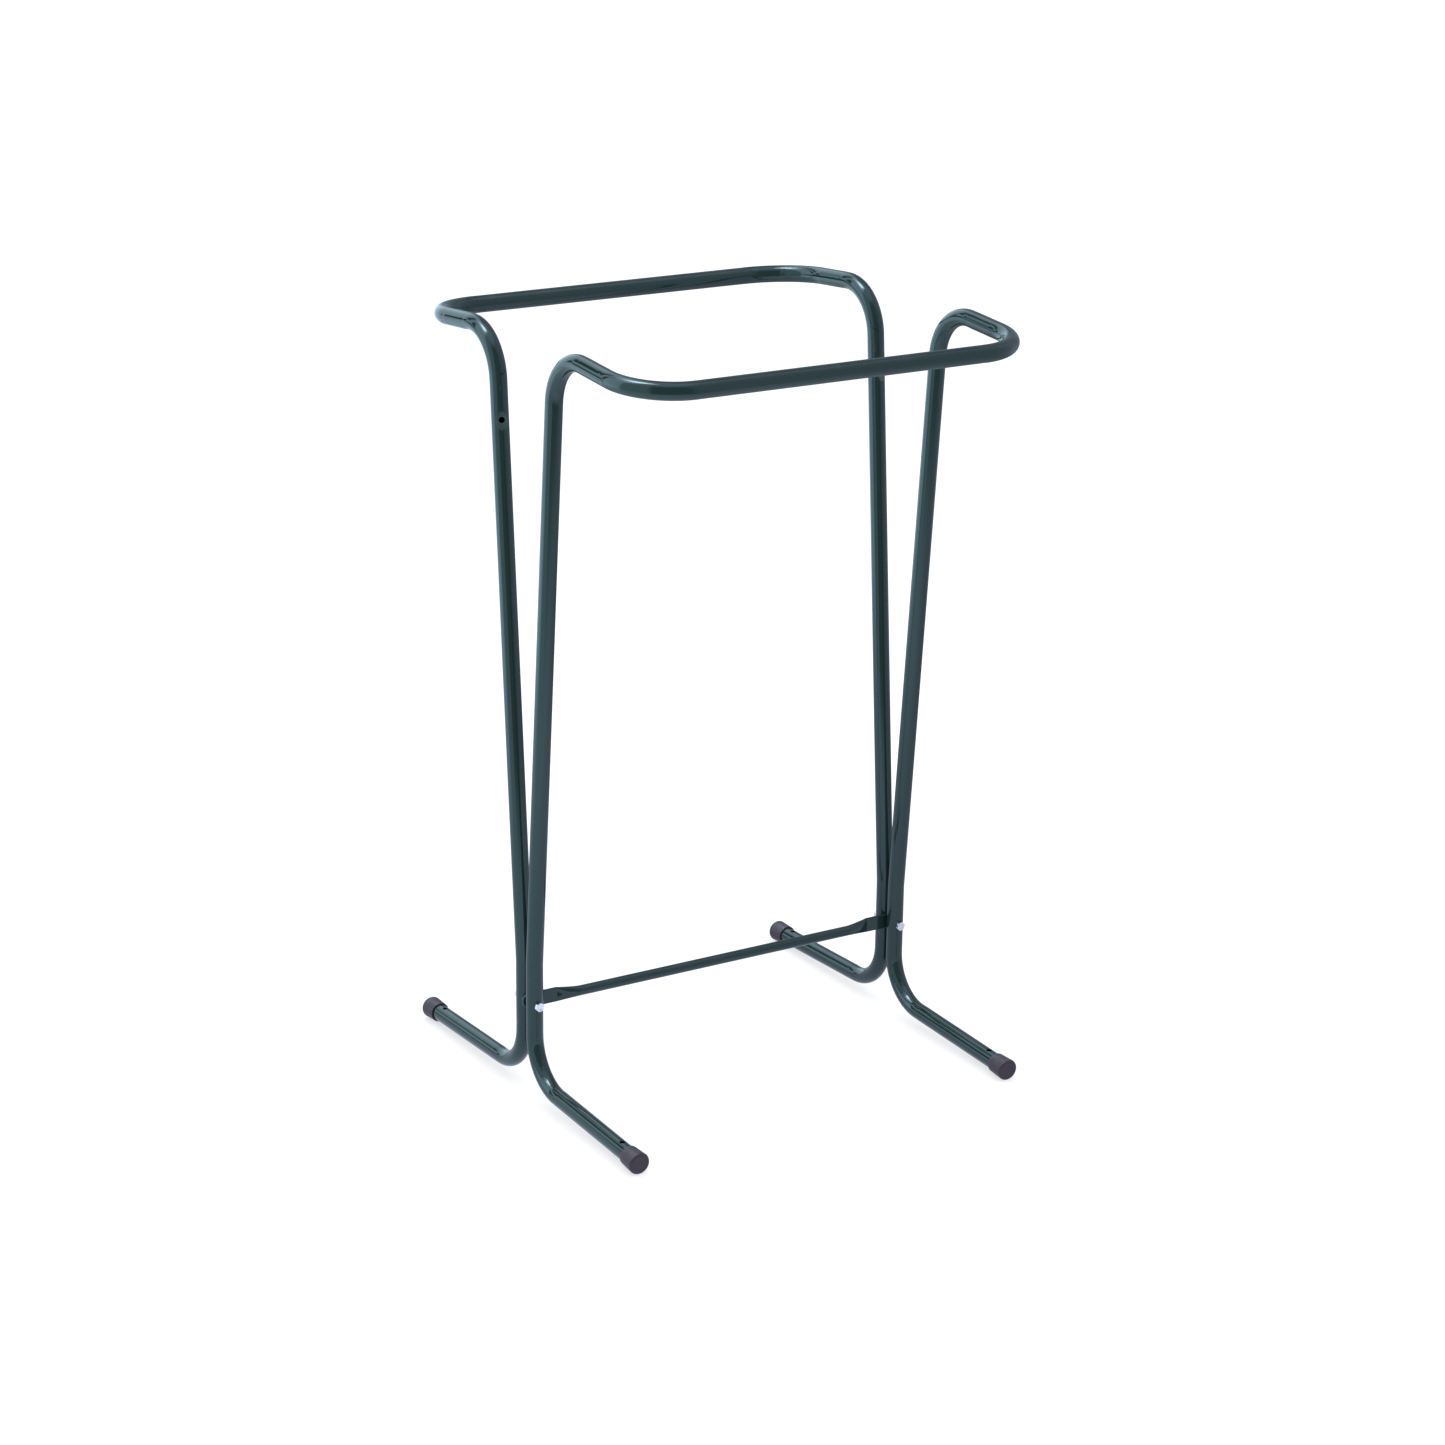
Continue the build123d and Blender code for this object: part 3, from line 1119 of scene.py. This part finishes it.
def hexTop(sizes, top):
    # the flat top's rim and the chamfered corners below it
    inner, slope = cornerReach(sizes) - sizes["chamfer"], -sizes["chamferSlope"]
    return [(inner - 0.35, top), (inner - 0.1, top - 0.03),
            hexRing(sizes, 0.05, top - 0.06, slope), hexRing(sizes, 0.0, top - 0.16, slope)]


def headMesh(sizes, seat, outward):
    # from the dish over the rim and the chamfer down the sides to the seat
    top, dish, deep = sizes["headHeight"], sizes["dishRadius"], sizes["dishDepth"]
    rings = [
        (0.6, top - deep), (dish - 0.9, top - deep), (dish - 0.3, top - deep * 0.8),
        (dish, top - deep * 0.35), (dish + 0.25, top - 0.04), (dish + 0.5, top),
        *hexTop(sizes, top),
        hexRing(sizes, 0.0, 0.3), hexRing(sizes, 0.06, 0.12), hexRing(sizes, 0.25, 0.0),
        (sizes["shank"] / 2 - 0.2, 0.0),
    ]
    return turnedSolid("boltHead", rings, sizes["columns"], seat, outward)


def nutMesh(sizes, seat, outward):
    # up the bore, over the top, down the sides and in along the seat
    top, bore, slope = sizes["nutHeight"], sizes["nutBore"] / 2, sizes["chamferSlope"]
    inner = cornerReach(sizes) - sizes["chamfer"]
    rings = [
        (bore, 0.5), (bore, top - 0.5), (bore + 0.45, top - 0.05), (bore + 0.6, top),
        *hexTop(sizes, top),
        hexRing(sizes, 0.0, 0.16, slope), hexRing(sizes, 0.05, 0.06, slope),
        (inner - 0.1, 0.03), (inner - 0.35, 0.0), (bore + 0.6, 0.0), (bore + 0.45, 0.05),
    ]
    return turnedSolid("hexNut", rings, sizes["columns"], seat, outward, closed=True)


def threadTree():
    tree, given, swept, radial = sweptTree("cutThread", {
        "Pitch": 0.001, "Depth": 0.0004, "Thread Start": 0.03, "Length": 0.05,
        "Tip Chamfer": 0.0007})
    parts = splitOf(tree, radial)
    along = storedValue(tree, "along")
    turns = calc(tree, "DIVIDE", calc(tree, "ARCTAN2", parts["Z"], parts["X"]), 2 * math.pi)
    phase = calc(tree, "FRACT", calc(
        tree, "ADD", calc(tree, "DIVIDE", along, given["Pitch"]), turns))
    valley = times(tree, calc(tree, "ABSOLUTE", minus(tree, phase, 0.5)), 2.0)
    crest = calc(tree, "MINIMUM", times(tree, valley, 1.25), 1.0)  # narrow flats on top
    runIn = calc(tree, "DIVIDE", minus(tree, along, given["Thread Start"]),
                 times(tree, given["Pitch"], 2.0), clamp=True)
    cut = times(tree, times(tree, minus(tree, crest, 1.0), given["Depth"]), runIn)
    toTip = minus(tree, given["Length"], along)
    tip = calc(tree, "MINIMUM", minus(tree, toTip, given["Tip Chamfer"]), 0.0)
    offset = scaled(tree, radial, calc(tree, "MINIMUM", cut, tip))
    return finishTree(tree, given, swept, {"Offset": offset})


cutThread = threadTree()


def shankMesh(sizes, seat, inward):
    length, threadStart = sizes["length"], sizes["length"] - sizes["threadLength"]
    threadMarks = np.arange(
        threadStart - sizes["threadLead"], length, sizes["pitch"] / sizes["stepsPerTurn"])
    marks = sizes["plainMarks"] + list(threadMarks) + [length]
    centres = [seat + inward * m for m in marks]
    mesh = pathMesh("shankPath", centres, {"along": [m * mm for m in marks]})
    swept = runTree(cutThread, mesh, "cutThread", {
        "Radius": (sizes["shank"] / 2 - sizes["threadPlay"]) * mm,
        "Sides": sizes["threadSides"],
        "Pitch": sizes["pitch"] * mm,
        "Depth": sizes["threadDepth"] * mm,
        "Thread Start": threadStart * mm,
        "Length": length * mm,
        "Tip Chamfer": sizes["tipChamfer"] * mm,
        "Finish": finishes["zinc"],
    })
    work = bmesh.new()
    work.from_mesh(swept)
    bmesh.ops.holes_fill(work, edges=[e for e in work.edges if e.is_boundary], sides=0)
    work.to_mesh(swept)
    work.free()
    return swept


forwards, backwards = Vector((0, -1, 0)), Vector((0, 1, 0))
for sideName, side in (("left", -1), ("right", 1)):
    middle = Vector((side * legX, 0, stand["boltHeight"]))
    headSeat = middle + forwards * (legOffset + tubeRadius)
    nutSeat = middle + backwards * (legOffset + tubeRadius)
    bolt = closedShell("bolt", [headMesh(fastenerSizes, headSeat, forwards),
                                shankMesh(fastenerSizes, headSeat, backwards)])
    nut = closedShell("nut", [nutMesh(fastenerSizes, nutSeat, backwards)])
    pieces[sideName + "_bolt"] = shownPiece(sideName + "Bolt", bolt, finishes["zinc"])
    pieces[sideName + "_nut"] = shownPiece(sideName + "Nut", nut, finishes["zinc"])
print("bolts and nuts turned and threaded")


def capProfile(sizes):
    # (radius, distance from the end face), from the end's middle round to the inside's middle
    endRadius, mouthRadius, bore = (sizes[k] / 2 for k in ("end", "mouth", "bore"))
    edge, lip, length, wall = (sizes[k] for k in ("rounding", "lip", "length", "endWall"))
    dish, deep = sizes["dishRadius"], sizes["dishDepth"]
    profile = [(0.0, deep), (2.0, deep), (dish - 0.5, deep), (dish - 0.2, deep * 0.8),
               (dish, deep * 0.35), (dish + 0.2, 0.05), (dish + 0.5, 0.0)]
    ringRadius = endRadius - edge * (capTaper + math.hypot(1, capTaper))
    roundTurn = math.pi / 2 + math.atan(capTaper)
    for step in range(sizes["roundSteps"] + 1):
        angle = math.pi - roundTurn * step / sizes["roundSteps"]
        profile.append((ringRadius + edge * math.sin(angle), edge + edge * math.cos(angle)))
    for share in sizes["flankShares"]:
        along = edge + (length - lip - edge) * share
        profile.append((endRadius - capTaper * along, along))
    flankEnd = mouthRadius + capTaper * lip
    return profile + [
        (flankEnd - lip * 0.25, length - lip * 0.3), (mouthRadius - lip, length),
        (bore + 0.35, length), (bore + 0.1, length - 0.1), (bore, length - 0.35),
        (bore, wall + 8), (bore, wall + 0.1), (bore - 0.1, wall), (2.0, wall), (0.0, wall),
    ]


footInward = Vector((0, math.cos(fall), math.sin(fall)))
for sideName, side in (("left", -1), ("right", 1)):
    for face, tip, faceTurn in (
            ("front", footPoint(side, 0), 0), ("rear", footPoint(-side, 0), math.pi)):
        cap = closedShell("footCap", [
            turnedSolid("capRings", capProfile(capSizes), capSizes["sides"], tip, footInward)])
        if faceTurn:
            cap.transform(Matrix.Rotation(faceTurn, 4, "Z"))
        pieces[face + "_" + sideName + "_foot_cap"] = shownPiece(
            face + "Cap" + sideName.title(), cap, finishes["plastic"])
print("foot caps moulded")

for nodeName, piece in pieces.items():
    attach(piece, "root")
    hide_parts(nodeName)

# Pale floor and soft studio light. What the gloss mirrors is set apart from what lights the
# scene: pale panels round a sweep of cloth, the open room behind the camera, a box overhead.
studio = {
    "floorHalf": 60,  # metres
    "floorColour": (0.46, 0.46, 0.47, 1),
    "floorGlow": 0.6,
    "floorCloud": {"scale": 1.2, "detail": 2.0},
    "floorRoughness": (0.1, 0.6),
    "skyColour": (0.95, 0.965, 1.0, 1),
    "skyStrength": 1.16,
    "lampPlace": (0.2, 1.0, 3.4),
    "lampTarget": (0, 0, 0.4),
    "lampSize": (3.0, 2.4),
    "lampPower": 25,
    "lampColour": (0.95, 0.95, 1.0),
    "openRoom": (0.22, 0.25, 0.28, 1),
    "clothLeft": (0.68, 0.92, 1.06, 1),
    "clothFront": (0.80, 0.86, 1.09, 1),
    "clothSides": (-0.9, 0.1),
    "clothSlope": (-0.50, -0.32, 0.0),
    "clothLevel": 0.96,
    "clothLimits": (0.18, 1.5),
    "clothReach": (0.9, 2.3),
    "panels": {  # middle, half width, soft edge, bottom and top in degrees, then the light
        "leftWall": (-92, 36, 6, -90, 66, (0.80, 1.10, 1.26, 1)),
        "backWall": (-8, 34, 7, -90, 66, (1.32, 1.75, 2.02, 1)),
        "leftBox": (-61, 18, 4, -90, 60, (1.88, 2.5, 2.9, 1)),
        "rightCorner": (50, 27, 9, -90, 50, (0.28, 0.33, 0.42, 1)),
        "rightWall": (118, 42, 12, -90, 66, (0.54, 0.59, 0.73, 1)),
        "ceiling": (0, 400, 9, 60, 180, (1.02, 1.35, 1.62, 1)),
        "overhead": (-42, 42, 16, 60, 180, (5.6, 7.0, 8.2, 1)),
        "boxGap": (-41.5, 3.5, 1, 9, 33, (0.10, 0.16, 0.15, 1)),
        "clothFold": (-26.5, 3, 1, 2, 14, (0.05, 0.10, 0.09, 1)),
        "lampCore": (-45, 26, 10, 66, 84, (16, 18, 20, 1)),
    },
    "seamNormal": (0.782, 0.547, -0.298),
    "seamEdges": (-0.062, 0.058),
    "seamBlur": 0.005,
    "seamLight": (0.02, 0.05, 0.04, 1),
    "seamShade": (0.45, 0.2),
    "seamBack": (0.1, 0.4),
    "seamHeights": ((56.0, 44.0), (-5.0, -2.0)),
    "seamGap": ((4.0, 6.0), (20.0, 18.0)),
}


def bandOf(tree, value, low, high):
    # 1 between two soft limits, each given as where it starts and ends
    return times(tree, ramp(tree, value, *low), ramp(tree, value, *high))


def panelMask(tree, turn, height, middle, half, soft, bottom, top):
    aside = calc(tree, "WRAP", minus(tree, turn, middle), 180.0, -180.0)
    across = ramp(tree, calc(tree, "ABSOLUTE", aside), half + soft, half - soft)
    return times(tree, across, bandOf(
        tree, height, (bottom - soft, bottom + soft), (top + soft, top - soft)))


def mirroredRoomGroup(settings):
    tree, given = newTree(
        "mirroredRoom", "ShaderNodeTree", {"Way": ("Vector",)}, {"Light": "Color"})
    way = given["Way"]
    parts = splitOf(tree, way)
    inDegrees = 180 / math.pi
    height = times(tree, calc(tree, "ARCSINE", parts["Z"]), inDegrees)
    turn = times(tree, calc(tree, "ARCTAN2", parts["X"], parts["Y"]), inDegrees)
    seen = settings["openRoom"]
    for *edges, light in settings["panels"].values():
        seen = mixColour(tree, panelMask(tree, turn, height, *edges), seen, light)
    # a thin dark seam slants up the back left corner, and the cloth beside it lies in its shade
    across = vectorCalc(tree, "DOT_PRODUCT", way, settings["seamNormal"])
    (first, last), blur = settings["seamEdges"], settings["seamBlur"]
    depth, reach = settings["seamShade"]
    behind = times(tree, ramp(tree, parts["Y"], *settings["seamBack"]),
                   bandOf(tree, height, *settings["seamHeights"]))
    gap = bandOf(tree, height, *settings["seamGap"])
    behind = times(tree, behind, minus(tree, 1.0, gap))
    beside = bandOf(tree, across, (first, last), (reach, last))
    shade = times(tree, times(tree, beside, behind), depth)
    seen = mixColour(tree, shade, seen, settings["seamLight"])
    line = bandOf(tree, across, (first - blur, first + blur), (last + blur, last - blur))
    seen = mixColour(tree, times(tree, line, behind), seen, settings["seamLight"])
    return putOut(tree, {"Light": seen})


shared["room"] = mirroredRoomGroup(studio)


def showMirrored(tree, outputName, plain, mirrored):
    # glossy rays see the mirrored room, all others the plain floor or sky
    rays = addNode(tree, "ShaderNodeLightPath")
    chosen = addNode(tree, "ShaderNodeMixShader", {
        0: rays.outputs["Is Glossy Ray"], 1: plain.outputs[0], 2: mirrored.outputs[0]})
    feed(tree, tree.nodes[outputName], {"Surface": chosen.outputs[0]})


def paleFloor(settings):
    half = settings["floorHalf"]
    corners = [(-half, -half, 0), (half, -half, 0), (half, half, 0), (-half, half, 0)]
    mesh = plainMesh("paleFloor", corners, [(0, 1, 2, 3)])
    finish, tree, shader, place = startFinish("paleFloor")
    cloud = noiseOf(tree, place, **settings["floorCloud"])
    feed(tree, shader, {
        "Base Color": settings["floorColour"], "Specular IOR Level": 0.0,
        "Emission Color": (1, 1, 1, 1), "Emission Strength": settings["floorGlow"],
        "Roughness": timesPlus(tree, cloud, *settings["floorRoughness"])})
    # near the stand the gloss mirrors the cloth, further out the room round it
    low, high = settings["clothLimits"]
    slope = vectorCalc(tree, "DOT_PRODUCT", place, settings["clothSlope"])
    level = calc(tree, "ADD", slope, settings["clothLevel"])
    level = calc(tree, "MINIMUM", calc(tree, "MAXIMUM", level, low), high)
    sideways = ramp(tree, splitOf(tree, place)["X"], *settings["clothSides"])
    tint = mixColour(tree, sideways, settings["clothLeft"], settings["clothFront"])
    fromRim = vectorCalc(tree, "SUBTRACT", place, (0.0, 0.0, rimZ * mm))
    around = useGroup(tree, "room", {"Way": vectorCalc(tree, "NORMALIZE", fromRim)})["Light"]
    far = ramp(tree, vectorCalc(tree, "LENGTH", place), *settings["clothReach"])
    glow = mixColour(tree, far, scaled(tree, tint, level), around)
    mirrored = addNode(tree, "ShaderNodeEmission", {"Color": glow, "Strength": 1.0})
    showMirrored(tree, "Material Output", shader, mirrored)
    mesh.materials.append(finish)
    inScene("paleFloor", mesh)


def softLamp(settings):
    lamp = bpy.data.lights.new("overheadBox", "AREA")
    lamp.shape = "RECTANGLE"
    lamp.size, lamp.size_y = settings["lampSize"]
    lamp.energy, lamp.color = settings["lampPower"], settings["lampColour"]
    holder = inScene("overheadBox", lamp)
    holder.location = settings["lampPlace"]
    holder.rotation_mode = "QUATERNION"
    way = Vector(settings["lampTarget"]) - Vector(settings["lampPlace"])
    holder.rotation_quaternion = way.to_track_quat("-Z", "Y")
    holder.visible_camera = holder.visible_glossy = False


def studioWorld(settings):
    world = bpy.data.worlds.new("studioWorld")
    bpy.context.scene.world = world
    world.use_nodes = True
    tree = world.node_tree
    sky = tree.nodes["Background"]
    feed(tree, sky, {"Color": settings["skyColour"], "Strength": settings["skyStrength"]})
    way = addNode(tree, "ShaderNodeTexCoord").outputs["Generated"]
    seen = useGroup(tree, "room", {"Way": way})["Light"]
    mirrored = addNode(tree, "ShaderNodeBackground", {"Color": seen, "Strength": 1.0})
    showMirrored(tree, "World Output", sky, mirrored)


paleFloor(studio)
studioWorld(studio)
softLamp(studio)
bpy.context.scene.view_settings.view_transform = "Standard"
print("floor and lights placed")
